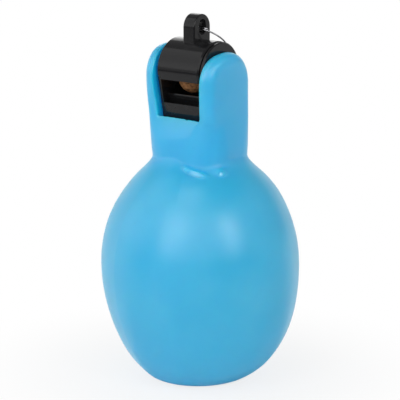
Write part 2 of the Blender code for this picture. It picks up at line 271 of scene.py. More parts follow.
class Wiring:
    """Adds nodes to a shader tree and joins them."""

    def __init__(self, tree: NodeTree) -> None:
        """Takes the tree that the nodes go into."""
        self.tree = tree

    def add(self, kind: str, values: dict[Union[str, int], SocketValue], **settings: object) -> Node:
        """Adds one node.

        Args:
            kind: The node's type.
            values: Its inputs, by name or place: a constant, or the socket that feeds it.
            settings: Its own properties.

        Returns:
            The node.
        """
        node = self.tree.nodes.new(kind)
        for name, value in settings.items():
            setattr(node, name, value)
        for key, value in values.items():
            if isinstance(value, NodeSocket):
                self.tree.links.new(value, node.inputs[key])
            else:
                node.inputs[key].default_value = value
        return node

    def math(self, operation: str, first: SocketValue, second: SocketValue = 0.0) -> NodeSocket:
        """Does one sum and gives its result."""
        return self.add("ShaderNodeMath", {0: first, 1: second}, operation=operation).outputs[0]

    def blend(self, share: SocketValue, first: SocketValue, second: SocketValue) -> NodeSocket:
        """Mixes two colours and gives the result."""
        node = self.add("ShaderNodeMix", {0: share, 6: first, 7: second}, data_type="RGBA")
        return node.outputs[2]

    def part(self, value: SocketValue, share: SocketValue) -> NodeSocket:
        """Gives a share of a value."""
        return self.math("MULTIPLY", value, share)

    def along(self, place: NodeSocket, way: Vector) -> NodeSocket:
        """Gives how far a point lies in a direction."""
        return self.add("ShaderNodeVectorMath", {0: place, 1: way}, operation="DOT_PRODUCT").outputs["Value"]

    def spread(
        self, value: SocketValue, low: float, high: float, to_low: float = 0.0, to_high: float = 1.0
    ) -> NodeSocket:
        """Maps a value from one range onto another, smoothly."""
        values = {0: value, 1: low, 2: high, 3: to_low, 4: to_high}
        return self.add("ShaderNodeMapRange", values, interpolation_type="SMOOTHSTEP").outputs[0]

    def noise(self, place: NodeSocket, scale: SocketValue, detail: float = 2.0) -> NodeSocket:
        """Adds a cloudy pattern and gives its value."""
        values = {"Vector": place, "Scale": scale, "Detail": detail}
        return self.add("ShaderNodeTexNoise", values).outputs[0]

    def place(self) -> NodeSocket:
        """Gives the point on the piece, in metres."""
        return self.add("ShaderNodeTexCoord", {}).outputs["Object"]

    def dress(
        self, shader: Node, colour: NodeSocket, rough: NodeSocket, relief: tuple[float, float, NodeSocket]
    ) -> None:
        """Feeds a material's shader.

        Args:
            shader: The shader node.
            colour: Its colour.
            rough: Its roughness.
            relief: Strength, depth in metres and height of its bumps.
        """
        values = dict(zip(("Strength", "Distance", "Height"), relief))
        bump = self.add("ShaderNodeBump", values).outputs["Normal"]
        for label, socket in (("Base Color", colour), ("Roughness", rough), ("Normal", bump)):
            self.tree.links.new(socket, shader.inputs[label])


def new_group(name: str, inputs: dict[str, float], outputs: Iterable[str]) -> tuple[Wiring, Node, Node]:
    """Starts a shader group with plain number sockets.

    Args:
        name: The group's name.
        inputs: Its inputs and their first values.
        outputs: Its outputs.

    Returns:
        The wiring of the group, its input node and its output node.
    """
    tree = bpy.data.node_groups.new(name, "ShaderNodeTree")
    for label, value in inputs.items():
        tree.interface.new_socket(label, in_out="INPUT", socket_type="NodeSocketFloat").default_value = value
    for label in outputs:
        tree.interface.new_socket(label, in_out="OUTPUT", socket_type="NodeSocketFloat")
    wiring = Wiring(tree)
    return wiring, wiring.add("NodeGroupInput", {}), wiring.add("NodeGroupOutput", {})


def moulded_skin() -> NodeTree:
    """Builds the group for a moulded surface: fine grain, slow waves and uneven gloss.

    Returns:
        The group, with the outputs Height, Roughness and Cloud.
    """
    inputs = {"Grain": 3000.0, "Wave": 120.0, "Roughness": 0.4, "Unevenness": 0.1}
    wiring, given, out = new_group("moulded_skin", inputs, ("Height", "Roughness", "Cloud"))
    place = wiring.place()
    grain = wiring.noise(place, given.outputs["Grain"], 3.0)
    wave = wiring.noise(place, given.outputs["Wave"], 2.0)
    patches = wiring.noise(place, wiring.part(given.outputs["Wave"], 2.6), 4.0)
    uneven = wiring.part(wiring.math("SUBTRACT", patches, 0.5), given.outputs["Unevenness"])
    results = {
        "Height": wiring.math("ADD", grain, wiring.part(wave, 2.0)),
        "Roughness": wiring.math("ADD", given.outputs["Roughness"], uneven),
        "Cloud": wave,
    }
    for label, socket in results.items():
        wiring.tree.links.new(socket, out.inputs[label])
    return wiring.tree


def hand_marks() -> NodeTree:
    """Builds the group for the faint smears and specks that handling leaves.

    Returns:
        The group, with the outputs Smear and Speck.
    """
    wiring, given, out = new_group("hand_marks", {"Size": 60.0}, ("Smear", "Speck"))
    place = wiring.place()
    smear = wiring.noise(place, given.outputs["Size"], 5.0)
    wiring.tree.links.new(wiring.spread(smear, 0.52, 0.72), out.inputs["Smear"])
    speck = wiring.noise(place, wiring.part(given.outputs["Size"], 22.0), 1.0)
    wiring.tree.links.new(wiring.spread(speck, 0.70, 0.80), out.inputs["Speck"])
    return wiring.tree


@dataclass(frozen=True)
class Finish:
    """What every finish has: a name, a colour and a gloss."""

    name: str
    colour: Colour
    roughness: float

    def start(self) -> tuple[Material, Wiring, Node]:
        """Makes the empty material.

        Returns:
            The material, its wiring and its shader node.
        """
        material = bpy.data.materials.new(self.name)
        material.use_nodes = True
        shader = material.node_tree.nodes["Principled BSDF"]
        shader.inputs["Base Color"].default_value = (*self.colour, 1.0)
        shader.inputs["Roughness"].default_value = self.roughness
        return material, Wiring(material.node_tree), shader

    def tint(self, share: float) -> tuple[float, float, float, float]:
        """Gives the colour made lighter by a share, or darker by a negative one."""
        goal = 1.0 if share > 0 else 0.0
        return (*[c + (goal - c) * abs(share) for c in self.colour], 1.0)


@dataclass(frozen=True)
class Moulded(Finish):
    """What both moulded finishes have: grain, slow waves, uneven gloss and marks of handling."""

    ior: float
    grain: float
    wave: float
    unevenness: float
    mark_size: float
    bumps: Point2

    def begin(self, skin: NodeTree, marks: NodeTree) -> tuple[Material, Wiring, Node, Node, Node]:
        """Makes the material with its two shared groups.

        Args:
            skin: The group for moulded surfaces.
            marks: The group for marks of handling.

        Returns:
            The material, its wiring, its shader node and the nodes of the two groups.
        """
        material, wiring, shader = self.start()
        shader.inputs["IOR"].default_value = self.ior
        values = {"Grain": self.grain, "Wave": self.wave, "Unevenness": self.unevenness}
        moulded = wiring.add("ShaderNodeGroup", {"Roughness": self.roughness, **values}, node_tree=skin)
        worn = wiring.add("ShaderNodeGroup", {"Size": self.mark_size}, node_tree=marks)
        return material, wiring, shader, moulded, worn


@dataclass(frozen=True)
class SoftVinyl(Moulded):
    """Satin soft vinyl of the bulb, painted a brighter, more saturated blue on the slot's cut faces for the
    light glowing through the thin ears, and shinier where it is rubbed.
    """

    ior: float = 1.80
    grain: float = 2600.0
    wave: float = 45.0
    unevenness: float = 0.10
    mark_size: float = 38.0
    bumps: Point2 = (0.35, 0.00003)
    glow: float = 0.8
    glow_radius: Colour = (0.08, 0.8, 1.0)
    glow_scale: float = 0.006
    # Painted glow: a brighter, more saturated blue on the cut slot faces, and how much of it they take
    painted_slot_glow: Colour = (0.003, 0.56, 0.96)
    painted_slot_glow_share: float = 0.8
    cloud_tints: Point2 = (-0.035, 0.02)
    speck: Point2 = (0.10, -0.4)
    rub_gloss: float = 0.15
    smear_gloss: float = 0.05

    def material(self, skin: NodeTree, marks: NodeTree) -> Material:
        """Builds the material.

        Args:
            skin: The group for moulded surfaces.
            marks: The group for marks of handling.

        Returns:
            The material.
        """
        material, wiring, shader, moulded, worn = self.begin(skin, marks)
        shader.inputs["Subsurface Weight"].default_value = self.glow
        shader.inputs["Subsurface Radius"].default_value = self.glow_radius
        shader.inputs["Subsurface Scale"].default_value = self.glow_scale
        cut = wiring.add("ShaderNodeAttribute", {}, attribute_name="cut").outputs["Fac"]
        rubbed = wiring.add("ShaderNodeAttribute", {}, attribute_name="rubbed").outputs["Fac"]
        cloud = wiring.spread(moulded.outputs["Cloud"], 0.3, 0.7)
        colour = wiring.blend(cloud, *[self.tint(share) for share in self.cloud_tints])
        speck = wiring.part(worn.outputs["Speck"], self.speck[0])
        colour = wiring.blend(speck, colour, self.tint(self.speck[1]))
        # Painted light: the cut faces get a brighter blue that stands in for light glowing through the thin
        # ears
        colour = wiring.blend(wiring.part(cut, self.painted_slot_glow_share), colour, (*self.painted_slot_glow, 1.0))
        rough = moulded.outputs["Roughness"]
        for gloss, share in ((worn.outputs["Smear"], self.smear_gloss), (rubbed, self.rub_gloss)):
            rough = wiring.math("SUBTRACT", rough, wiring.part(gloss, share))
        wiring.dress(shader, colour, rough, (*self.bumps, moulded.outputs["Height"]))
        return material


@dataclass(frozen=True)
class MouldedPlastic(Moulded):
    """Half-gloss black plastic with fine rubbed marks."""

    ior: float = 1.40
    grain: float = 4200.0
    wave: float = 160.0
    unevenness: float = 0.08
    mark_size: float = 130.0
    bumps: Point2 = (0.12, 0.00002)
    rub_scale: tuple[float, float, float] = (260.0, 3200.0, 3200.0)
    rub_depth: float = 0.4
    rub_rough: float = 0.05
    smear: Point2 = (0.5, 0.012)
    smear_rough: float = 0.06

    def material(self, skin: NodeTree, marks: NodeTree) -> Material:
        """Builds the material.

        Args:
            skin: The group for moulded surfaces.
            marks: The group for marks of handling.

        Returns:
            The material.
        """
        material, wiring, shader, moulded, worn = self.begin(skin, marks)
        drawn_out = wiring.add("ShaderNodeMapping", {"Vector": wiring.place(), "Scale": self.rub_scale})
        rubbed = wiring.spread(wiring.noise(drawn_out.outputs[0], 1.0, 2.0), 0.60, 0.74)
        smear = worn.outputs["Smear"]
        colour = wiring.blend(wiring.part(smear, self.smear[0]), self.tint(0.0), self.tint(self.smear[1]))
        rough = wiring.math("ADD", moulded.outputs["Roughness"], wiring.part(rubbed, self.rub_rough))
        rough = wiring.math("ADD", rough, wiring.part(smear, self.smear_rough))
        height = wiring.math("SUBTRACT", moulded.outputs["Height"], wiring.part(rubbed, self.rub_depth))
        wiring.dress(shader, colour, rough, (*self.bumps, height))
        return material


@dataclass(frozen=True)
class Cork(Finish):
    """Bare cork: pressed crumbs, dark pores and pale flecks."""

    crumb_scale: float = 900.0
    pore_scale: float = 1500.0
    fleck_scale: float = 2600.0
    pale: Colour = (0.54, 0.27, 0.095)
    dark: Colour = (0.060, 0.024, 0.010)
    sheen: float = 0.12
    crumb_tint: float = -0.35
    fleck_share: float = 0.6
    pore_share: float = 0.8
    pore_roughness: float = 0.97
    bumps: Point2 = (0.6, 0.0002)

    def material(self) -> Material:
        """Builds the material.

        Returns:
            The material.
        """
        material, wiring, shader = self.start()
        shader.inputs["Specular IOR Level"].default_value = self.sheen
        place = wiring.place()
        crumbs = wiring.add("ShaderNodeTexVoronoi", {"Vector": place, "Scale": self.crumb_scale})
        shade = wiring.add("ShaderNodeSeparateColor", {0: crumbs.outputs["Color"]}).outputs[0]
        pores = wiring.spread(wiring.noise(place, self.pore_scale, 4.0), 0.56, 0.66)
        flecks = wiring.spread(wiring.noise(place, self.fleck_scale, 2.0), 0.60, 0.70)
        colour = wiring.blend(shade, self.tint(self.crumb_tint), self.tint(0.0))
        colour = wiring.blend(wiring.part(flecks, self.fleck_share), colour, (*self.pale, 1.0))
        colour = wiring.blend(wiring.part(pores, self.pore_share), colour, (*self.dark, 1.0))
        rough = wiring.spread(pores, 0.0, 1.0, self.roughness, self.pore_roughness)
        height = wiring.math("SUBTRACT", crumbs.outputs["Distance"], wiring.part(pores, self.pore_share))
        wiring.dress(shader, colour, rough, (*self.bumps, height))
        return material


@dataclass(frozen=True)
class SteelWire(Finish):
    """Bright drawn steel wire."""

    mark_size: float = 420.0
    smear: Point2 = (0.4, -0.35)
    drawn_scale: float = 5200.0
    unevenness: Point2 = (-0.06, 0.10)
    bumps: Point2 = (0.2, 0.00001)

    def material(self, marks: NodeTree) -> Material:
        """Builds the material.

        Args:
            marks: The group for marks of handling.

        Returns:
            The material.
        """
        material, wiring, shader = self.start()
        shader.inputs["Metallic"].default_value = 1.0
        worn = wiring.add("ShaderNodeGroup", {"Size": self.mark_size}, node_tree=marks)
        drawn = wiring.noise(wiring.place(), self.drawn_scale, 3.0)
        smear = wiring.part(worn.outputs["Smear"], self.smear[0])
        colour = wiring.blend(smear, self.tint(0.0), self.tint(self.smear[1]))
        low, high = (self.roughness + change for change in self.unevenness)
        rough = wiring.spread(drawn, 0.3, 0.7, low, high)
        wiring.dress(shader, colour, rough, (*self.bumps, drawn))
        return material


# The pea whistle's sizes, which the bulb's slot and socket also follow


@dataclass(frozen=True)
class WhistleSizes:
    """Sizes of the black whistle, round its barrel's axis."""

    width: float = 0.0202
    barrel_radius: float = 0.0120
    wall: float = 0.0016
    tilt: float = math.radians(11.5)
    axis_y: float = -0.0015
    axis_z: float = 0.1221
    tip_drop: float = 0.0371
    window_drop: float = 0.0028
    window_height: float = 0.0092
    windway_exit: float = 0.0020
    windway_inlet: float = 0.0040
    gap: float = 0.0003
    off_middle: Point2 = (-0.0003, -0.0002)
    widening: float = 0.0018

    @property
    def axis(self) -> Vector:
        """A point on the barrel's axis, with the whistle a little off the slot's middle."""
        return Vector((self.off_middle[0], self.axis_y + self.off_middle[1], self.axis_z))

    @property
    def half(self) -> float:
        """Half the whistle's width."""
        return self.width / 2

    @property
    def chamber(self) -> float:
        """Radius of the chamber."""
        return self.barrel_radius - self.wall

    def widened(self, z: float) -> float:
        """How far the right end leans out at a height: nothing at the tip, most on top of the barrel."""
        return self.widening * (z - self.axis_z + self.tip_drop) / (self.barrel_radius + self.tip_drop)

    def front(self, drop: float, inset: float = 0.0) -> float:
        """Y of the flat front face, a drop below the axis."""
        return -self.barrel_radius + drop * math.tan(self.tilt) + inset / math.cos(self.tilt)

    def back(self, drop: float, inset: float = 0.0) -> float:
        """Y of the flat back face, a drop below the axis."""
        return (self.barrel_radius - inset) / math.cos(self.tilt) - drop * math.tan(self.tilt)


# The bulb


@dataclass(frozen=True)
class NeckFold:
    """The fold and the knob under the neck's front corner.

    Angles are in degrees from -Y towards +X, and distances count from the crease between neck and dome. Pairs
    are (middle, width), but zone, crest and crest_turn are (from, to).
    """

    zone: Point2 = (0.076, 0.094)
    fold: Point2 = (30.0, 14.0)
    knob: Point2 = (61.0, 6.0)
    knob_share: float = 0.8
    knob_crest: Point2 = (0.0020, 0.0016)
    knob_flank: Point2 = (0.0028, 0.0014)
    crest: Point2 = (0.0012, 0.0027)
    crest_turn: Point2 = (16.0, 46.0)
    crest_width: float = 0.0012
    flank_past: float = 0.0008
    dull: Point2 = (40.0, 30.0)
    dull_share: float = 2.0
    dull_width: float = 0.0013
    above: float = 0.0004

    def relief(self, angle: float, away: float) -> Point2:
        """Height of the fold at a point, and the gloss of its flank.

        Args:
            angle: The point's direction.
            away: Its distance from the crease.

        Returns:
            Both, as shares.
        """
        fold = hump(angle - self.fold[0], self.fold[1], 4)
        knob = hump(angle - self.knob[0], self.knob[1])
        crest = self.crest[0] + (self.crest[1] - self.crest[0]) * ramp(angle, *self.crest_turn)
        out = fold * hump(away - crest, self.crest_width)
        out += self.knob_share * knob * hump(away - self.knob_crest[0], self.knob_crest[1])
        flank = fold * hump(away - crest - self.flank_past, self.crest_width)
        flank += knob * hump(away - self.knob_flank[0], self.knob_flank[1])
        return out, flank

    def dullness(self, angle: float, away: float) -> float:
        """How dull the crease is at a point."""
        return self.dull_share * hump(away, self.dull_width) * hump(angle - self.dull[0], self.dull[1], 4)


@dataclass(frozen=True)
class Dent:
    """The hollow that thumbs have pressed into the neck's front, under the slot.

    Pairs are (from, to), but depth is (middle, sides) and left_edge is (start, width).
    """

    zone: Point2 = (0.0900, 0.1180)
    depth: Point2 = (0.0020, 0.0013)
    foot: float = 0.0965
    slant: float = 0.0048
    slant_power: float = 2.4
    slant_zone: Point2 = (-0.0080, 0.0117)
    past_slot: float = 0.0012
    left_edge: Point2 = (0.0100, 0.0045)
    left_fade: Point2 = (0.1090, 0.1175)
    right_fade: float = 0.0008

    def at(self, point: Vector, slot: float, floor: float) -> float:
        """How far the front is pressed in.

        Args:
            point: A point of the neck.
            slot: Half the slot's width.
            floor: Height of the slot's floor.

        Returns:
            The depth of the hollow.
        """
        if not self.zone[0] < point.z < self.zone[1]:
            return 0.0
        low, high = self.slant_zone
        start = self.foot + self.slant * max(0.0, (point.x - low) / (high - low)) ** self.slant_power
        span = max(0.0, 1 - (abs(point.x) / (slot + self.past_slot)) ** 6)
        if point.x < 0:
            span = max(0.0, 1 - (max(0.0, -point.x - self.left_edge[0]) / self.left_edge[1]) ** 2)
        share = max(0.0, point.z - start) / (floor - self.foot)
        if point.z > floor and point.x < 0:
            share = 1 - ease(ramp(point.z, *self.left_fade))
        elif point.z > floor:
            share = max(0.0, 1 - (point.z - floor) / self.right_fade)
        deep = self.depth[1] + (self.depth[0] - self.depth[1]) * max(0.0, 1 - (point.x / slot) ** 4)
        return deep * span * share


@dataclass
class SqueezeBulb:
    """The soft bulb with its neck, two ears, slot, socket and air space."""

    whistle: WhistleSizes

    # Dome: radius, height of its widest ring, radius and rounding of its foot, powers of the curves below
    # and above that ring, wall
    radius: float = 0.0391
    belly: float = 0.0458
    foot: float = 0.0180
    foot_round: float = 0.0014
    fullness: float = 2.6
    crown: float = 1.96
    wall: float = 0.0025

    # Neck: height and half width, half width and floor of the slot, wall in front of the socket, radii of the
    # corners, swelling towards the dome, fillet (tightest, widest) and the direction where it is tight
    shoulder: float = 0.0874
    half_width: float = 0.0154
    slot: float = 0.0104
    floor: float = 0.1050
    neck_wall: float = 0.0042
    corner: float = 0.0040
    foot_corner: float = 0.0110
    worn_corner: float = 0.0112
    worn_power: float = 0.3
    swell_x: float = 0.0014
    swell_y: float = 0.0017
    fillet: Point2 = (0.0022, 0.0056)
    tight: Point2 = (29.0, 24.0)

    # Ears: growth in depth up to the arch, height of the arch's foot and of its top, powers of its front and
    # back, rounding of the rim, lean outwards
    flare: float = 0.0003
    spring: float = 0.0130
    rise: dict[Side, float] = field(default_factory=lambda: {Side.LEFT: 0.0267, Side.RIGHT: 0.0252})
    arch_power: Point2 = (2.3, 2.0)
    edge: float = 0.0044
    splay: float = 0.0015

    # Shape given by use: the left ear spread, the slot's ledge (sunk, raised), the right ear pressed, the
    # fold's height, the bulging sides, sags of the dome as (far, middle, width), the fold and the hollow
    spread: float = 0.0006
    spread_rise: float = 0.0090
    ledge: Point2 = (0.0011, 0.0001)
    ledge_zone: Point2 = (0.0006, 0.0008)
    give: float = 0.0030
    press_gap: float = 0.00003
    lip: float = 0.0011
    bulge: float = 0.0007
    bulge_zone: Point2 = (0.0860, 0.0940)
    bulge_past: float = 0.0015
    sags: tuple[tuple[float, float, float], ...] = (
        (0.0008, 0.019, 0.017), (-0.0010, 0.0, 0.003), (0.0004, 0.076, 0.007)
    )
    sag_way: float = math.radians(37.5)
    fold: NeckFold = NeckFold()
    dent: Dent = Dent()

    # The slot's cut edge: rounding, zone that takes the painted glow blue, its wave as (scale, height, seed),
    # its nick as (depth, middle, width)
    cut_round: float = 0.0005
    cut_zone: Point2 = (0.0002, 0.0003)
    cut_band: float = 0.0012
    cut_front: float = -0.0095
    cut_wave: tuple[float, float, float] = (900.0, 0.00010, 3.7)
    nick: tuple[float, float, float] = (-0.00035, 0.0032, 0.0005)

    # Underside
    sole_insets: Point2 = (0.0022, 0.0012)
    sole_hollow: float = 0.0005

    # Faces of the control mesh, which have to agree where its sheets meet: half a side of the neck, a corner,
    # from there to the slot, half the slot, the socket's depth, a ledge's depth, an ear below its arch, the
    # whole of its outline and the stretch on which its edge grows
    flat_faces: int = 4
    bend_faces: int = 6
    rest_faces: int = 2
    slot_faces: int = 6
    socket_faces: int = 8
    ledge_faces: int = 2
    stem_faces: int = 4
    arch_steps: int = 32
    edge_steps: int = 10

    @property
    def quarter(self) -> int:
        """Faces round a quarter of the neck."""
        return self.flat_faces + self.bend_faces + self.rest_faces + self.slot_faces

    @property
    def round_socket(self) -> int:
        """Faces round the socket."""
        return 4 * self.slot_faces + 2 * self.socket_faces

    # Outline of dome and neck

    @property
    def dome_rise(self) -> float:
        """Height of the dome's upper half, if the neck didn't cut it off."""
        return (self.shoulder - self.belly) / math.sqrt(1 - (self.half_x(self.shoulder) / self.radius) ** 2)

    def dome(self, z: float, wall: float = 0.0) -> float:
        """Radius of the dome at a height, or of its inside one wall in.

        Args:
            z: The height.
            wall: The wall, or 0 for the outside.

        Returns:
            The radius.
        """
        below = z < self.belly
        drop = self.belly / math.sqrt(1 - (self.foot / self.radius) ** self.fullness)
        share = (z - self.belly) / ((drop if below else self.dome_rise) - wall)
        power = self.fullness if below else self.crown
        return (self.radius - wall) * max(0.0, 1 - share**2) ** (1 / power)

    def lean(self, z: float) -> float:
        """Y of the neck's middle at a height."""
        return self.whistle.axis_y * ramp(z, self.shoulder, self.whistle.axis_z)

    def foot_share(self, z: float) -> float:
        """How much of the neck's round foot shows at a height: 1 at the shoulder, 0 at the slot's floor."""
        return ramp(z, self.floor, self.shoulder)

    def half_x(self, z: float) -> float:
        """Half the neck's width at a height."""
        return self.half_width + self.swell_x * self.foot_share(z)

    def half_depth(self, z: float) -> float:
        """Half the neck's depth at a height, up to where the ears' arch springs.

        Args:
            z: The height.

        Returns:
            Half the depth.
        """
        drop = self.whistle.axis_z - self.floor
        front = self.whistle.front(drop) + self.whistle.axis_y - self.lean(self.floor)
        at_floor = self.neck_wall + self.whistle.gap - front
        flared = self.flare * max(0.0, (z - self.floor) / self.spring)
        return at_floor + self.swell_y * self.foot_share(z) + flared

    def corner_at(self, z: float, worn: bool = False) -> float:
        """Radius of the neck's corners at a height.

        Args:
            z: The height.
            worn: True for the corner that hands have worn, which is softer.

        Returns:
            The radius.
        """
        share = self.foot_share(z)
        if worn:
            return self.corner + (self.worn_corner - self.corner) * share**self.worn_power
        return self.corner + (self.foot_corner - self.corner) * share

    def neck_spot(self, station: int, z: float) -> Point2:
        """A point (x, y) of the neck's rounded square.

        Args:
            station: Its count round the neck, from +X towards +Y.
            z: Its height.

        Returns:
            The point.
        """
        turn, step = divmod(station % (4 * self.quarter), self.quarter)
        k = step if turn % 2 == 0 else self.quarter - step
        wide, deep, bend = self.half_x(z), self.half_depth(z), self.corner_at(z, turn == 3)
        past_bend = self.flat_faces + self.bend_faces
        if k <= self.flat_faces:
            x, y = wide, (deep - bend) * k / self.flat_faces
        elif k <= past_bend:
            angle = (k - self.flat_faces) / self.bend_faces * math.pi / 2
            x, y = wide - bend + bend * math.cos(angle), deep - bend + bend * math.sin(angle)
        else:
            at_slot = self.slot / (self.half_width - self.corner)
            share = at_slot * (self.quarter - k) / self.slot_faces
            if k <= past_bend + self.rest_faces:
                share = 1 + (at_slot - 1) * (k - past_bend) / self.rest_faces
            x, y = (wide - bend) * share, deep
        return (x if turn in (0, 3) else -x), (y if turn in (0, 1) else -y) + self.lean(z)

    def skin_spot(self, station: int, z: float) -> Vector:
        """A point of the outside below the slot's floor.

        Args:
            station: Its count round the neck.
            z: Its height.

        Returns:
            The point.
        """
        x, y = self.neck_spot(station, z)
        reach = math.hypot(x, y)
        radius = self.dome(z)
        if z > self.belly:
            tight = hump(math.degrees(math.atan2(x, -y)) - self.tight[0], self.tight[1], 4)
            width = self.fillet[1] + (self.fillet[0] - self.fillet[1]) * tight
            near = max(0.0, width - abs(reach - radius)) / width
            radius = max(reach, radius) + near * near * width / 4
        if z < self.foot_round:
            radius -= self.foot_round * (1 - z / self.foot_round) ** 2
        return Vector((x * radius / reach, y * radius / reach, z))

    def skin_heights(self) -> list[float]:
        """Places the rings of the outside, from the foot to the slot's floor.

        Returns:
            The heights, upwards.
        """
        foot = [0.0, 0.00015, 0.0005, 0.0012, 0.0024, 0.0042]
        first, fillet, crease, neck = 0.0068, 0.0800, 0.0836, 0.0910
        turn, bend = math.pi / 2, math.pi / 2 * 0.85
        lower = [self.belly - (self.belly - first) * math.sin(turn * (1 - n / 10)) for n in range(10)]
        rise = (fillet - self.belly) / math.sin(bend)
        upper = [self.belly + rise * math.sin(bend * n / 9) for n in range(9)]
        spans = ((fillet, crease, 4), (crease, neck, 16), (neck, self.floor, 8))
        rest = [low + (high - low) * n / count for low, high, count in spans for n in range(count)]
        return foot + lower + upper + rest + [self.floor]

    # Ears

    def splayed(self, side: Side, z: float) -> float:
        """How far an ear bends outwards at a height."""
        return self.splay * ramp(z, self.floor, self.floor + self.rise[side]) ** 4

    def pressed(self, z: float) -> float:
        """How far the whistle's side plate presses the right ear's inner face outwards at a height."""
        plate = self.whistle.axis.x + self.whistle.half + self.whistle.widened(z)
        return max(0.0, plate + self.press_gap - self.slot - self.splayed(Side.RIGHT, z))

    def arch(self, side: Side, t: float) -> Point2:
        """A point (y, z) of an ear's outline, from the front of the slot's floor over the top.

        Args:
            side: The ear.
            t: Its place along the outline, from 0 to arch_steps.

        Returns:
            The point.
        """
        front = min(t, self.arch_steps - t)
        spring = self.floor + self.spring
        if front <= self.stem_faces:
            z = self.floor + self.spring * front / self.stem_faces
            y = self.half_depth(z)
        else:
            angle = (front - self.stem_faces) / (self.arch_steps / 2 - self.stem_faces) * math.pi / 2
            power = 2 / self.arch_power[0 if t < self.arch_steps / 2 else 1]
            y = self.half_depth(spring) * max(0.0, math.cos(angle)) ** power
            z = spring + (self.floor + self.rise[side] - spring) * math.sin(angle) ** power
        return (-y if t < self.arch_steps / 2 else y) + self.lean(z), z

    def rim_spot(self, side: Side, t: int, layer: int) -> Vector:
        """A point of an ear's rounded rim.

        Args:
            side: The ear.
            t: Its place along the outline.
            layer: Its place across the rim, from 0 on the slot up to its outer face.

        Returns:
            The point.
        """
        y, z = self.arch(side, t)
        step = 0.02
        before, after = self.arch(side, max(0.0, t - step)), self.arch(side, min(self.arch_steps, t + step))
        along = Vector((after[0] - before[0], after[1] - before[1])).normalized()
        inward = Vector((along.y, -along.x))
        if t in (0, self.arch_steps):
            inward = Vector((1.0 if t == 0 else -1.0, 0.0))
        high = ease(ramp(min(t, self.arch_steps - t), 0, self.edge_steps))
        bend = self.corner + (self.edge - self.corner) * high
        thick = self.half_width - self.slot
        angle = max(0, layer - self.rest_faces) / self.bend_faces * math.pi / 2
        inset = bend * (1 - math.cos(angle))
        y, z = y + inward.x * inset, z + inward.y * inset
        out = thick - bend + bend * math.sin(angle)
        if layer < self.rest_faces:
            out = (thick - bend) * layer / self.rest_faces
        return Vector((side.value * (self.slot + self.splayed(side, z) + out), y, z))

    def face_spot(self, side: Side, layer: int, base: Sequence[float], u: int, v: int) -> Vector:
        """A point of an ear's inner or outer face, spanned between its rim and its foot.

        Args:
            side: The ear.
            layer: The rim's layer that bounds the face.
            base: Y of the points along its foot.
            u: Its place along the foot.
            v: Its place up the face.

        Returns:
            The point.
        """
        wide = len(base) - 1
        tall = (self.arch_steps - wide) // 2
        left, right = self.rim_spot(side, v, layer), self.rim_spot(side, self.arch_steps - v, layer)
        low, high = Vector((0, base[u], self.floor)), self.rim_spot(side, tall + u, layer)
        a, b = u / wide, v / tall
        shares = ((1 - a) * (1 - b), a * (1 - b), (1 - a) * b, a * b)
        mixed = Vector()
        for t, share in zip((0, self.arch_steps, tall, tall + wide), shares):
            mixed += self.rim_spot(side, t, layer) * share
        point = left * (1 - a) + right * a + low * (1 - b) + high * b - mixed
        point.x = side.value * ((self.slot if layer == 0 else self.half_width) + self.splayed(side, point.z))
        return point

    # Slot and inside

    def socket_depth(self, z: float) -> Point2:
        """Y of the socket's front and back wall at a height.

        Args:
            z: The height.

        Returns:
            Both, the front first.
        """
        drop = self.whistle.axis_z - z
        gap = self.whistle.gap / math.cos(self.whistle.tilt)
        shift = self.whistle.axis_y
        return self.whistle.front(drop) - gap + shift, self.whistle.back(drop) + gap + shift

    def foot_line(self) -> list[float]:
        """Divides the foot of an ear's inner face: ledge, socket, ledge.

        Returns:
            The Y values, front to back.
        """
        deep, lean = self.half_depth(self.floor), self.lean(self.floor)
        front, back = self.socket_depth(self.floor)
        socket = [front + (back - front) * n / self.socket_faces for n in range(self.socket_faces + 1)]
        return [lean - deep, (lean - deep + front) / 2, *socket, (lean + deep + back) / 2, lean + deep]

    def ledge_spot(self, first: int, u: int, v: int) -> Vector:
        """A point of the slot's floor in front of the socket or behind it."""
        return Vector((self.slot * (u / self.slot_faces - 1), self.foot_line()[first + v], self.floor))

    def inner_spot(self, station: int, z: float, open_share: float) -> Vector:
        """A point of the socket's wall or of the air space under it.

        Args:
            station: Its count round the socket, from the front's left end.
            z: Its height.
            open_share: 0 in the socket, 1 on the inside of the dome.

        Returns:
            The point.
        """
        lowest = 0.0840
        front, back = self.socket_depth(max(z, lowest))
        turn, step = divmod(station % self.round_socket, self.round_socket // 2)
        if step <= 2 * self.slot_faces:
            x, y = self.slot * (step / self.slot_faces - 1), front
        else:
            x, y = self.slot, front + (back - front) * (step - 2 * self.slot_faces) / self.socket_faces
        if turn:
            x, y = -x, front + back - y
        reach = math.hypot(x, y)
        radius = reach + (self.dome(z, self.wall) - reach) * open_share
        return Vector((x * radius / reach, y * radius / reach, z))

    def inner_rings(self) -> list[Point2]:
        """Places the rings of the inside, from the slot's floor down to the bulb's bottom.

        Returns:
            Height and opening share of each ring.
        """
        socket = [(self.floor - (self.floor - 0.0885) * n / 4, 0.0) for n in range(5)]
        roof = [(0.0865, 0.35), (0.0850, 0.8), (0.0820, 1.0)]
        dome = [(z, 1.0) for z in (0.0760, 0.0680, 0.0570, 0.0458, 0.0340, 0.0220, 0.0120, 0.0060, 0.0034)]
        return socket + roof + dome

    # Shape given by use

    def sway(self, z: float) -> float:
        """How far the soft bulb sags to one side at a height."""
        return sum(far * hump(z - middle, width) for far, middle, width in self.sags)

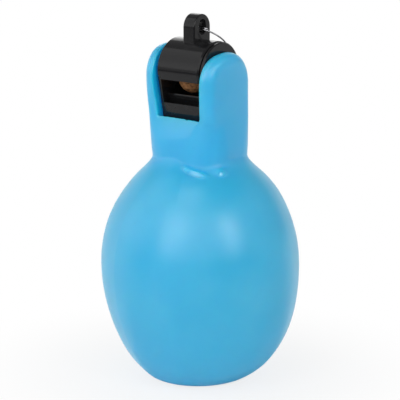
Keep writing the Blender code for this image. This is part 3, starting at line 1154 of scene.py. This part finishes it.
    def relax(self, point: Vector) -> Vector:
        """Gives a point its place on the used bulb.

        Args:
            point: A point of the new bulb.

        Returns:
            The point, sagged, pressed in under the slot, and with the ears pushed aside.
        """
        moved = point + Vector((math.cos(self.sag_way), math.sin(self.sag_way), 0)) * self.sway(point.z)
        socket = self.socket_depth(self.floor)[0]
        outer = ramp(socket - point.y, 0.0, self.neck_wall)
        moved.y += outer * self.dent.at(point, self.slot, self.floor)
        past, band = self.ledge_zone
        if abs(point.z - self.floor) < band and abs(point.x) < self.slot + past:
            sunk = self.ledge[0] * max(0.0, 1 - max(0.0, point.y - socket) / self.give)
            moved.z += self.ledge[1] * outer - sunk * (1 - outer)
        if abs(point.x) > self.slot + self.bulge_past and point.z > self.bulge_zone[0]:
            across = (point.y - self.lean(point.z)) / self.half_depth(min(point.z, self.floor + self.spring))
            out = max(0.0, 1 - across**2) * ease(ramp(point.z, *self.bulge_zone))
            moved.x += math.copysign(self.bulge, point.x) * out
        if point.x < 0:
            moved.x -= self.spread * ease(ramp(point.z, self.floor, self.floor + self.spread_rise))
        off = abs(point.x - self.slot - self.splayed(Side.RIGHT, point.z))
        moved.x += self.pressed(point.z) * max(0.0, 1 - off / self.give)
        return moved

    def reach(self, angle: float) -> float:
        """How far the neck's foot reaches from the bulb's axis.

        Args:
            angle: The direction, counted from -Y towards +X.

        Returns:
            The distance.
        """
        wide, deep, bend = self.half_x(self.shoulder), self.half_depth(self.shoulder), self.worn_corner
        x, y = abs(math.sin(angle)), abs(math.cos(angle))
        if deep * x <= (wide - bend) * y:
            return deep / y
        if wide * y <= (deep - bend) * x:
            return wide / x
        along = x * (wide - bend) + y * (deep - bend)
        return along + math.sqrt(along**2 - (wide - bend) ** 2 - (deep - bend) ** 2 + bend**2)

    def folded(self, point: Vector) -> Point2:
        """How far the fold between neck and dome moves a point of the skin, and the gloss there.

        Args:
            point: A point of the skin.

        Returns:
            The way out, and the gloss: above 0 where shiny, below 0 where dull.
        """
        angle = math.degrees(math.atan2(point.x, -point.y))
        if not 0 < angle < 90 or not self.fold.zone[0] < point.z < self.fold.zone[1]:
            return 0.0, 0.0
        foot = self.reach(math.radians(angle))
        crease = self.belly + self.dome_rise * math.sqrt(1 - (foot / self.radius) ** 2)
        away = math.hypot(math.hypot(point.x, point.y) - foot, point.z - crease)
        dull = self.fold.dullness(angle, away)
        if point.z > crease + self.fold.above:
            return 0.0, -dull
        out, flank = self.fold.relief(angle, away)
        return self.lip * out, flank - dull

    def cage(self) -> BMesh:
        """Builds the closed control mesh of the whole moulding.

        Returns:
            The mesh, with the slot's edges rounded.
        """
        bm = bmesh.new()
        heights = self.skin_heights()
        sheet(bm, 4 * self.quarter, len(heights) - 1, lambda u, v: self.skin_spot(u, heights[v]))
        inner_foot = self.foot_line()
        deep, lean = self.half_depth(self.floor) - self.corner, self.lean(self.floor)
        outer_foot = [lean + deep * (n / self.flat_faces - 1) for n in range(2 * self.flat_faces + 1)]
        rim = self.rest_faces + self.bend_faces
        for side in Side:
            sheet(bm, self.arch_steps, rim, lambda u, v, s=side: self.rim_spot(s, u, v))
            for layer, foot in ((rim, outer_foot), (0, inner_foot)):
                wide = len(foot) - 1
                tall = (self.arch_steps - wide) // 2
                sheet(bm, wide, tall, lambda u, v, s=side, at=layer, f=foot: self.face_spot(s, at, f, u, v))
        for first in (0, self.ledge_faces + self.socket_faces):
            sheet(bm, 2 * self.slot_faces, self.ledge_faces, lambda u, v, f=first: self.ledge_spot(f, u, v))
        rings = self.inner_rings()
        sheet(bm, self.round_socket, len(rings) - 1, lambda u, v: self.inner_spot(u, *rings[v]))
        bmesh.ops.remove_doubles(bm, verts=bm.verts, dist=WELD)
        bmesh.ops.holes_fill(bm, edges=[e for e in bm.edges if e.is_boundary], sides=0)
        bmesh.ops.recalc_face_normals(bm, faces=bm.faces)
        sole = [f for f in bm.faces if len(f.verts) > 20 and f.calc_center_median().z < 0.001]
        for width in self.sole_insets:
            bmesh.ops.inset_region(bm, faces=sole, thickness=width, depth=0.0, use_even_offset=True)
        bmesh.ops.translate(bm, verts=sole[0].verts, vec=(0, 0, self.sole_hollow))
        cut = [e for e in sharp_edges(bm, 50) if min(v.co.z for v in e.verts) > self.floor - TOUCH]
        bevel(bm, cut, self.cut_round, 2)
        for vert in bm.verts:
            vert.co = self.relax(vert.co)
        return bm

    def roughen(self, piece: Object) -> None:
        """Raises the fold, makes the slot's cut edge a little uneven and marks the cut faces, which take the
        painted glow blue, and the rubbed faces.

        Args:
            piece: The bulb.
        """
        mesh = piece.data
        folds = [self.folded(vert.co) for vert in mesh.vertices]
        shine = mesh.attributes.new("rubbed", "FLOAT", "POINT")
        shine.data.foreach_set("value", [gloss for _, gloss in folds])
        raised = [vert.co + vert.normal * out for vert, (out, _) in zip(mesh.vertices, folds)]
        # The cut mask says where the painted glow blue goes
        marks = mesh.attributes.new("cut", "FLOAT", "POINT")
        past, below = self.cut_zone
        scale, height, seed = self.cut_wave
        deep, middle, width = self.nick
        for vert, point, mark in zip(mesh.vertices, raised, marks.data):
            side = Side.RIGHT if point.x > 0 else Side.LEFT
            pushed = self.pressed(point.z) if side is Side.RIGHT else self.spread
            inside = abs(point.x) < self.slot + self.splayed(side, point.z) + pushed + past
            mark.value = 1.0 if inside and point.z > self.floor - below else 0.0
            off = abs(point.z - self.floor)
            if off < self.cut_band and abs(point.x) < self.slot and point.y < self.cut_front:
                wave = noise.noise(Vector((point.x * scale, 0.0, seed))) * height
                point.z += (wave + deep * hump(point.x - middle, width)) * (1 - off / self.cut_band)
            vert.co = point

    def build(self, finish: Material) -> None:
        """Builds the bulb, dresses it and seats it.

        Args:
            finish: The vinyl.
        """
        piece = solid(self.cage(), "squeeze_bulb_skin")
        rounded = piece.modifiers.new("soft_form", "SUBSURF")
        rounded.levels = rounded.render_levels = 2
        settle(piece)
        self.roughen(piece)
        piece.data.shade_smooth()
        seat(piece, finish, Body.BULB, Slot.VINYL, "squeeze_bulb")


# The whistle in the neck


@dataclass
class PeaWhistle:
    """The black whistle: moulded body, side plate and cork pea."""

    sizes: WhistleSizes

    # Body and side plate
    seam_x: float = 0.0090
    edge: float = 0.0005
    window_edge: float = 0.00015
    core_floor: float = 0.0060
    block_rise: float = 0.0033
    plate_inset: float = 0.0002
    plate_edge: float = 0.00038
    spigot: float = 0.0008
    lean_zone: Point2 = (0.004, 0.010)

    # Loop and its hole
    loop_thick: float = 0.0055
    loop_deep: float = 0.0102
    loop_high: float = 0.0098
    loop_crown: float = 0.00195
    loop_edge: float = 0.0006
    hole_wide: float = 0.0043
    hole_high: float = 0.0059
    hole_edge: float = 0.00022

    # Pea, with its lumps as (scale, height) and its pores as (scale, threshold, depth)
    pea_radius: float = 0.0063
    pea_side: float = -0.0010
    pea_gap: float = 0.0013
    pea_lumps: Point2 = (260.0, 0.00010)
    pea_pores: tuple[float, float, float] = (900.0, 0.22, 0.0009)

    # Faces round the barrel, and a length that reaches past everything
    barrel_steps: int = 104
    far: float = 0.05

    def outline(self, inset: float = 0.0) -> list[Point2]:
        """Side view of the whistle.

        Args:
            inset: How far it is drawn in.

        Returns:
            The outline.
        """
        s = self.sizes
        radius = s.barrel_radius - inset
        end = math.pi + s.tilt - math.acos((s.barrel_radius * math.cos(s.tilt) - inset) / radius)
        tip = s.tip_drop - inset
        points = arc((0, 0), radius, -s.tilt, end, self.barrel_steps)
        return points + [(s.front(tip, inset), -tip), (s.back(tip, inset), -tip)]

    def disc(self, radius: float) -> list[Point2]:
        """A full circle round the barrel's axis."""
        steps = self.barrel_steps
        return arc((0, 0), radius, 0, math.tau * (1 - 1 / steps), steps - 1)

    def loop_outline(self) -> list[Point2]:
        """Side view of the loop's tab, from inside the barrel's wall to its round top.

        Returns:
            The outline.
        """
        half = self.loop_deep / 2
        foot = math.sqrt(self.sizes.barrel_radius**2 - half**2) - self.sizes.wall / 2
        top = self.sizes.barrel_radius + self.loop_high
        return [(-half, foot), (half, foot)] + arc((0, top - half), half, 0, math.pi, 40)

    def hole_outline(self) -> list[Point2]:
        """Side view of the loop's hole, a slot with round ends.

        Returns:
            The outline.
        """
        radius = self.hole_wide / 2
        top = self.sizes.barrel_radius + self.loop_high - self.loop_crown
        high, low = top - radius, top - self.hole_high + radius
        return arc((0, high), radius, 0, math.pi, 24) + arc((0, low), radius, math.pi, math.tau, 24)

    def windway_back(self, drop: float) -> float:
        """Y of the windway's rear wall, which opens towards the tip.

        Args:
            drop: A drop below the barrel's axis.

        Returns:
            The Y.
        """
        s = self.sizes
        sill = s.window_drop + s.window_height
        share = (drop - sill) / (s.tip_drop - sill)
        return s.front(drop, s.wall) + s.windway_exit + (s.windway_inlet - s.windway_exit) * share

    def windway_outline(self) -> list[Point2]:
        """Side view of the air's way up the mouthpiece and out across the window.

        Returns:
            The outline.
        """
        s = self.sizes
        sill, past = s.window_drop + s.window_height, s.tip_drop + s.wall
        block = sill - self.block_rise
        return [
            (-self.far, -s.window_drop),
            (-self.far, -sill),
            (s.front(sill, s.wall), -sill),
            (s.front(past, s.wall), -past),
            (self.windway_back(past), -past),
            (self.windway_back(block), -block),
            (0, -block),
            (0, -s.window_drop),
        ]

    def core_outline(self) -> list[Point2]:
        """Side view of the pocket cored out behind the windway.

        Returns:
            The outline.
        """
        s = self.sizes
        low, sill = s.tip_drop - self.core_floor, s.window_drop + s.window_height
        return [
            (self.windway_back(low) + s.wall, -low),
            (s.back(low, s.wall), -low),
            (s.back(s.window_drop, s.wall), -s.window_drop),
            (self.windway_back(sill) + s.wall, -s.window_drop),
            (self.windway_back(sill) + s.wall, -sill),
        ]

    def bar(self, name: str, outline: Sequence[Point2], *ends: float, rounds: int = 4) -> Object:
        """Makes a solid from a side view round the barrel's axis; its ends and edge are those of prism."""
        return solid(prism(outline, *ends, rounds=rounds), name, self.sizes.axis)

    def body(self, finish: Material) -> None:
        """Builds the moulded body with chamber, windway, window and loop.

        Args:
            finish: The plastic.
        """
        s, far, half = self.sizes, self.far, self.loop_thick / 2
        left, right = -s.half + s.wall, self.seam_x - s.gap
        piece = self.bar("whistle_body_shell", self.outline(), -s.half, right, self.edge, rounds=1)
        combine(piece, self.bar("loop", self.loop_outline(), -half, half, self.loop_edge), "UNION")
        core = self.bar("core", self.core_outline(), left, far)
        combine(core, self.bar("guide", self.disc(s.barrel_radius), -far, 2 * far), "DIFFERENCE")
        combine(piece, self.bar("chamber", self.disc(s.chamber), left, far), "DIFFERENCE")
        combine(piece, self.bar("windway", self.windway_outline(), left, far), "DIFFERENCE")
        combine(piece, core, "DIFFERENCE")
        combine(piece, self.bar("hole", self.hole_outline(), -far, far), "DIFFERENCE")
        soften(piece, self.on_window, self.window_edge)
        soften(piece, self.on_hole, self.hole_edge)
        self.widen(piece)
        crisp(piece)
        seat(piece, finish, Body.WHISTLE, Slot.PLASTIC, "whistle_body")

    def on_window(self, edge: BMEdge) -> bool:
        """Says whether an edge frames the window on the front face.

        Args:
            edge: An edge of the body.

        Returns:
            True if it does.
        """
        s = self.sizes
        for vert in edge.verts:
            point = vert.co - s.axis
            off = abs(point.y - s.front(-point.z))
            inside = -s.half + 2 * self.edge < point.x < self.seam_x - s.gap - self.edge - TOUCH
            high = s.window_drop - TOUCH < -point.z < s.window_drop + s.window_height + TOUCH
            if off > 2 * TOUCH or not inside or not high:
                return False
        return True

    def on_hole(self, edge: BMEdge) -> bool:
        """Says whether an edge rings the loop's hole.

        Args:
            edge: An edge of the body.

        Returns:
            True if it does.
        """
        middle = self.sizes.barrel_radius + self.loop_high - self.loop_crown - self.hole_high / 2
        for vert in edge.verts:
            point = vert.co - self.sizes.axis
            wide = abs(point.y) < self.hole_wide / 2 + TOUCH
            high = abs(point.z - middle) < self.hole_high / 2 + TOUCH
            if not wide or not high or abs(abs(point.x) - self.loop_thick / 2) > 2 * TOUCH:
                return False
        return True

    def widen(self, piece: Object) -> None:
        """Leans the right end of a piece out towards the barrel, along the ear.

        Args:
            piece: The body or the plate.
        """
        s = self.sizes
        for vert in piece.data.vertices:
            vert.co.x += ramp(vert.co.x - s.axis.x, *self.lean_zone) * s.widened(vert.co.z)

    def plate(self, finish: Material) -> None:
        """Builds the side plate with its disc.

        Args:
            finish: The plastic.
        """
        s = self.sizes
        outline = self.outline(self.plate_inset)
        piece = self.bar("side_plate_shell", outline, self.seam_x, s.half, self.plate_edge, rounds=1)
        disc, inside = self.disc(s.chamber - s.gap), (self.seam_x + s.half) / 2
        combine(piece, self.bar("spigot", disc, self.seam_x - self.spigot, inside), "UNION")
        self.widen(piece)
        crisp(piece)
        seat(piece, finish, Body.WHISTLE, Slot.PLASTIC, "side_plate")

    def pea(self, finish: Material) -> None:
        """Builds the cork pea at the bottom of the chamber, with its pores.

        Args:
            finish: The cork.
        """
        bm = bmesh.new()
        bmesh.ops.create_icosphere(bm, subdivisions=6, radius=self.pea_radius)
        lump_scale, lump_height = self.pea_lumps
        pore_scale, pore_from, pore_depth = self.pea_pores
        for vert in bm.verts:
            lumps = noise.noise(vert.co * lump_scale) * lump_height
            pore = max(0.0, noise.noise(vert.co * pore_scale) - pore_from) * pore_depth
            vert.co -= vert.co.normalized() * (lump_height + lumps + pore)
        drop = self.sizes.chamber - self.pea_radius - self.pea_gap
        piece = solid(bm, "cork_pea_ball", self.sizes.axis + Vector((self.pea_side, 0, -drop)))
        seat(piece, finish, Body.PEA, Slot.CORK, "cork_pea")

    def build(self, plastic: Material, cork: Material) -> None:
        """Builds and seats the whistle's own pieces.

        Args:
            plastic: Finish of body and plate.
            cork: Finish of the pea.
        """
        self.body(plastic)
        self.plate(plastic)
        self.pea(cork)


@dataclass
class SplitRing:
    """The wire ring in the loop, bent round a little more than once."""

    hinge: Vector = field(default_factory=lambda: Vector((0.0000, -0.0009, 0.1383)))
    radius: float = 0.0080
    wire: float = 0.00031
    turn_gap: float = 0.00008
    start: float = math.radians(-12)
    end: float = math.radians(387)
    lean: float = math.radians(40.0)
    steps: int = 216
    sides: int = 14

    def build(self, finish: Material) -> None:
        """Builds the ring as a spun wire with rounded ends and seats it.

        Args:
            finish: The steel.
        """
        bm = bmesh.new()
        turn = self.end - self.start
        pitch = 2 * self.wire + self.turn_gap
        section = bmesh.ops.create_circle(bm, segments=self.sides, radius=self.wire)["verts"]
        bmesh.ops.rotate(bm, verts=section, matrix=Matrix.Rotation(math.pi / 2, 3, "X"))
        bmesh.ops.translate(bm, verts=section, vec=(self.radius, 0, pitch * (self.start / math.tau - 0.5)))
        bmesh.ops.rotate(bm, verts=section, matrix=Matrix.Rotation(self.start, 3, "Z"))
        rise = Vector((0, 0, pitch * turn / math.tau / self.steps))
        geom = bm.verts[:] + bm.edges[:]
        bmesh.ops.spin(
            bm, geom=geom, axis=(0, 0, 1), dvec=rise, angle=turn, steps=self.steps, use_merge=False
        )
        bmesh.ops.holes_fill(bm, edges=[e for e in bm.edges if e.is_boundary], sides=0)
        bmesh.ops.recalc_face_normals(bm, faces=bm.faces)
        bevel(bm, sharp_edges(bm, 60), self.wire / 2, 3)
        out = Vector((0, math.cos(self.lean), -math.sin(self.lean)))
        across = Vector((0, math.sin(self.lean), math.cos(self.lean)))
        middle = self.hinge + out * self.radius
        matrix = Matrix((-out, Vector((1, 0, 0)), across)).transposed().to_4x4()
        bmesh.ops.transform(bm, matrix=Matrix.Translation(middle) @ matrix, verts=bm.verts)
        piece = solid(bm, "split_ring_wire")
        seat(piece, finish, Body.RING, Slot.STEEL, "split_ring")


# Camera, light and floor


@dataclass(frozen=True)
class PhotoCamera:
    """The camera at the photograph's angle."""

    azimuth: float = math.radians(37.5)
    elevation: float = math.radians(13.5)
    distance: float = 0.700
    view_width: float = 0.156
    target: tuple[float, float, float] = (0.0, 0.0, 0.0707)

    def direction(self, aside: float, up: float) -> Vector:
        """A direction from the object, by its angle beside the camera and its angle above the table."""
        turn = self.azimuth + aside
        return Vector((math.sin(turn) * math.cos(up), -math.cos(turn) * math.cos(up), math.sin(up)))

    def build(self) -> None:
        """Makes the camera and sets it as the scene's own."""
        data = bpy.data.cameras.new("photo_camera")
        data.sensor_fit = "HORIZONTAL"
        data.sensor_width = 36.0
        data.lens = data.sensor_width * self.distance / self.view_width
        camera = bpy.data.objects.new("photo_camera", data)
        bpy.context.scene.collection.objects.link(camera)
        back = self.direction(0.0, self.elevation)
        camera.location = Vector(self.target) + back * self.distance
        camera.rotation_euler = back.to_track_quat("Z", "Y").to_euler()
        bpy.context.scene.camera = camera


@dataclass(frozen=True)
class Softbox:
    """One lamp that faces the object, square or taller by a share of its width."""

    name: str
    aside: float
    up: float
    distance: float
    size: float
    power: float
    tall: float = 1.0
    aim: tuple[float, float, float] = (0.0, 0.0, 0.07)

    def build(self, view: PhotoCamera) -> None:
        """Hangs the lamp.

        Args:
            view: The camera that its angles count from.
        """
        data = bpy.data.lights.new(self.name, "AREA")
        data.shape = "RECTANGLE"
        data.size, data.size_y = self.size, self.size * self.tall
        data.energy = self.power
        lamp = bpy.data.objects.new(self.name, data)
        bpy.context.scene.collection.objects.link(lamp)
        towards = view.direction(math.radians(self.aside), math.radians(self.up))
        lamp.location = Vector(self.aim) + towards * self.distance
        lamp.rotation_euler = towards.to_track_quat("Z", "Y").to_euler()


@dataclass(frozen=True)
class Studio:
    """White table, pale surroundings and soft lamps."""

    view: PhotoCamera

    # Brightness of the room and of the backdrop, and where the backdrop stands and fades
    room: float = 0.27
    backdrop: float = 0.73
    backdrop_side: float = math.radians(25)
    backdrop_turn: Point2 = (0.2, -0.7)
    backdrop_fade: Point2 = (0.14, 0.57)

    # The table, and how much of the shadow on it is kept and how far out
    table_half: float = 4.0
    table_drop: float = 0.0002
    shadow_share: float = 0.20
    shadow_fade: Point2 = (0.02, 0.11)

    # The paper on it: where the pieces see it glow white behind them, a painted light for their reflections,
    # and how it goes from white to a painted grey shade further out
    painted_light_side: float = math.radians(12)
    painted_light_turn: Point2 = (0.05, -0.25)
    painted_shade_fade: Point2 = (0.14, 0.75)
    painted_shade_ends: tuple[Point2, ...] = ((22.0, 1.0), (-68.0, 0.36))
    paper_and_painted_shade: Point2 = (0.88, 0.15)

    # The lamps: degrees beside the camera and above the table, distance, width, watts, height by width
    lamps: tuple[Softbox, ...] = (
        Softbox("left_softbox", -36.0, 27.5, 0.85, 0.42, 1.70, 1.35),
        Softbox("right_softbox", 40.0, 25.5, 0.85, 0.34, 1.18, 1.15),
        Softbox("edge_lamp", 32.0, 37.0, 0.85, 0.10, 0.18),
        Softbox("front_panel", 0.0, 28.0, 1.20, 0.80, 1.95),
        Softbox("top_panel", -26.0, 64.0, 0.90, 0.34, 0.55),
        Softbox("left_panel", -88.0, 33.0, 1.10, 1.00, 1.95),
        Softbox("right_panel", 84.0, 22.0, 1.10, 1.00, 1.0),
        Softbox("back_panel", 180.0, 26.0, 1.00, 0.50, 0.9),
    )

    def surroundings(self) -> None:
        """Makes the world: white to the eye, a plain pale room with a bright backdrop to the pieces."""
        world = bpy.data.worlds.new("pale_room")
        world.use_nodes = True
        bpy.context.scene.world = world
        world.node_tree.nodes.clear()
        wiring = Wiring(world.node_tree)
        way = wiring.add("ShaderNodeTexCoord", {}).outputs["Generated"]
        height = wiring.add("ShaderNodeSeparateXYZ", {0: way}).outputs[2]
        facing = wiring.along(way, self.view.direction(self.backdrop_side, 0.0))
        behind = wiring.spread(facing, *self.backdrop_turn, 0.0, self.backdrop)
        behind = wiring.part(behind, wiring.spread(height, *self.backdrop_fade, 1.0, 0.0))
        level = wiring.math("ADD", behind, self.room)
        room = wiring.add("ShaderNodeBackground", {"Color": (1, 1, 1, 1), "Strength": level})
        white = wiring.add("ShaderNodeBackground", {"Color": (1, 1, 1, 1), "Strength": 1.0})
        seen = wiring.add("ShaderNodeLightPath", {}).outputs["Is Camera Ray"]
        mixed = wiring.add("ShaderNodeMixShader", {0: seen, 1: room.outputs[0], 2: white.outputs[0]})
        wiring.add("ShaderNodeOutputWorld", {"Surface": mixed.outputs[0]})

    def paper(self) -> Material:
        """Makes the white paper: white to the eye but for a faint shadow, glowing white behind the pieces in
        their reflections as painted light, and painted a darker grey further out as painted shade.

        Returns:
            The material.
        """
        material = bpy.data.materials.new("white_paper")
        material.use_nodes = True
        material.node_tree.nodes.clear()
        wiring = Wiring(material.node_tree)
        place = wiring.place()
        away = wiring.add("ShaderNodeVectorMath", {0: place}, operation="LENGTH").outputs["Value"]
        kept = wiring.spread(away, *self.shadow_fade, self.shadow_share, 0.0)
        path = wiring.add("ShaderNodeLightPath", {})
        seen = wiring.part(path.outputs["Is Camera Ray"], wiring.math("SUBTRACT", 1.0, kept))
        # Painted light: the paper glows white to glossy rays behind the pieces
        ahead = wiring.add("ShaderNodeVectorMath", {0: place}, operation="NORMALIZE").outputs["Vector"]
        facing = wiring.along(ahead, self.view.direction(self.painted_light_side, 0.0))
        behind = wiring.spread(facing, *self.painted_light_turn)
        painted_light = wiring.part(path.outputs["Is Glossy Ray"], behind)
        # Painted shade: the paper darkens to grey further out
        sides = [self.view.direction(math.radians(aside), 0.0) * reach for aside, reach in self.painted_shade_ends]
        ends = [wiring.along(place, side) for side in sides]
        painted_shade = wiring.spread(wiring.math("MAXIMUM", *ends), *self.painted_shade_fade)
        colour = wiring.blend(painted_shade, *[(level, level, level, 1.0) for level in self.paper_and_painted_shade])
        paper = wiring.add("ShaderNodeBsdfDiffuse", {"Color": colour})
        white = wiring.add("ShaderNodeEmission", {"Color": (1, 1, 1, 1), "Strength": 1.0})
        share = wiring.math("MAXIMUM", seen, painted_light)
        mixed = wiring.add("ShaderNodeMixShader", {0: share, 1: paper.outputs[0], 2: white.outputs[0]})
        wiring.add("ShaderNodeOutputMaterial", {"Surface": mixed.outputs[0]})
        return material

    def table(self) -> None:
        """Makes the white table under the object."""
        bm = bmesh.new()
        bmesh.ops.create_grid(bm, x_segments=2, y_segments=2, size=self.table_half)
        floor = solid(bm, "white_table", Vector((0, 0, -self.table_drop)))
        floor.data.materials.append(self.paper())

    def build(self) -> None:
        """Sets up the table, the surroundings, the lamps and the colour view."""
        self.surroundings()
        self.table()
        for lamp in self.lamps:
            lamp.build(self.view)
        bpy.context.scene.view_settings.view_transform = "Standard"


def main() -> None:
    """Builds the studio and every piece."""
    logging.basicConfig(level=logging.INFO, format="%(name)s: %(message)s")
    view = PhotoCamera()
    view.build()
    Studio(view).build()
    skin, marks = moulded_skin(), hand_marks()
    vinyl = SoftVinyl("soft_blue_vinyl_skin", (0.009, 0.525, 0.925), 0.35).material(skin, marks)
    plastic = MouldedPlastic("black_plastic_shell", (0.010, 0.010, 0.011), 0.12).material(skin, marks)
    cork = Cork("bare_cork", (0.42, 0.20, 0.085), 0.85).material()
    steel = SteelWire("drawn_steel_wire", (0.44, 0.44, 0.46), 0.22).material(marks)
    sizes = WhistleSizes()
    SqueezeBulb(sizes).build(vinyl)
    PeaWhistle(sizes).build(plastic, cork)
    SplitRing().build(steel)


if __name__ == "__main__":
    main()
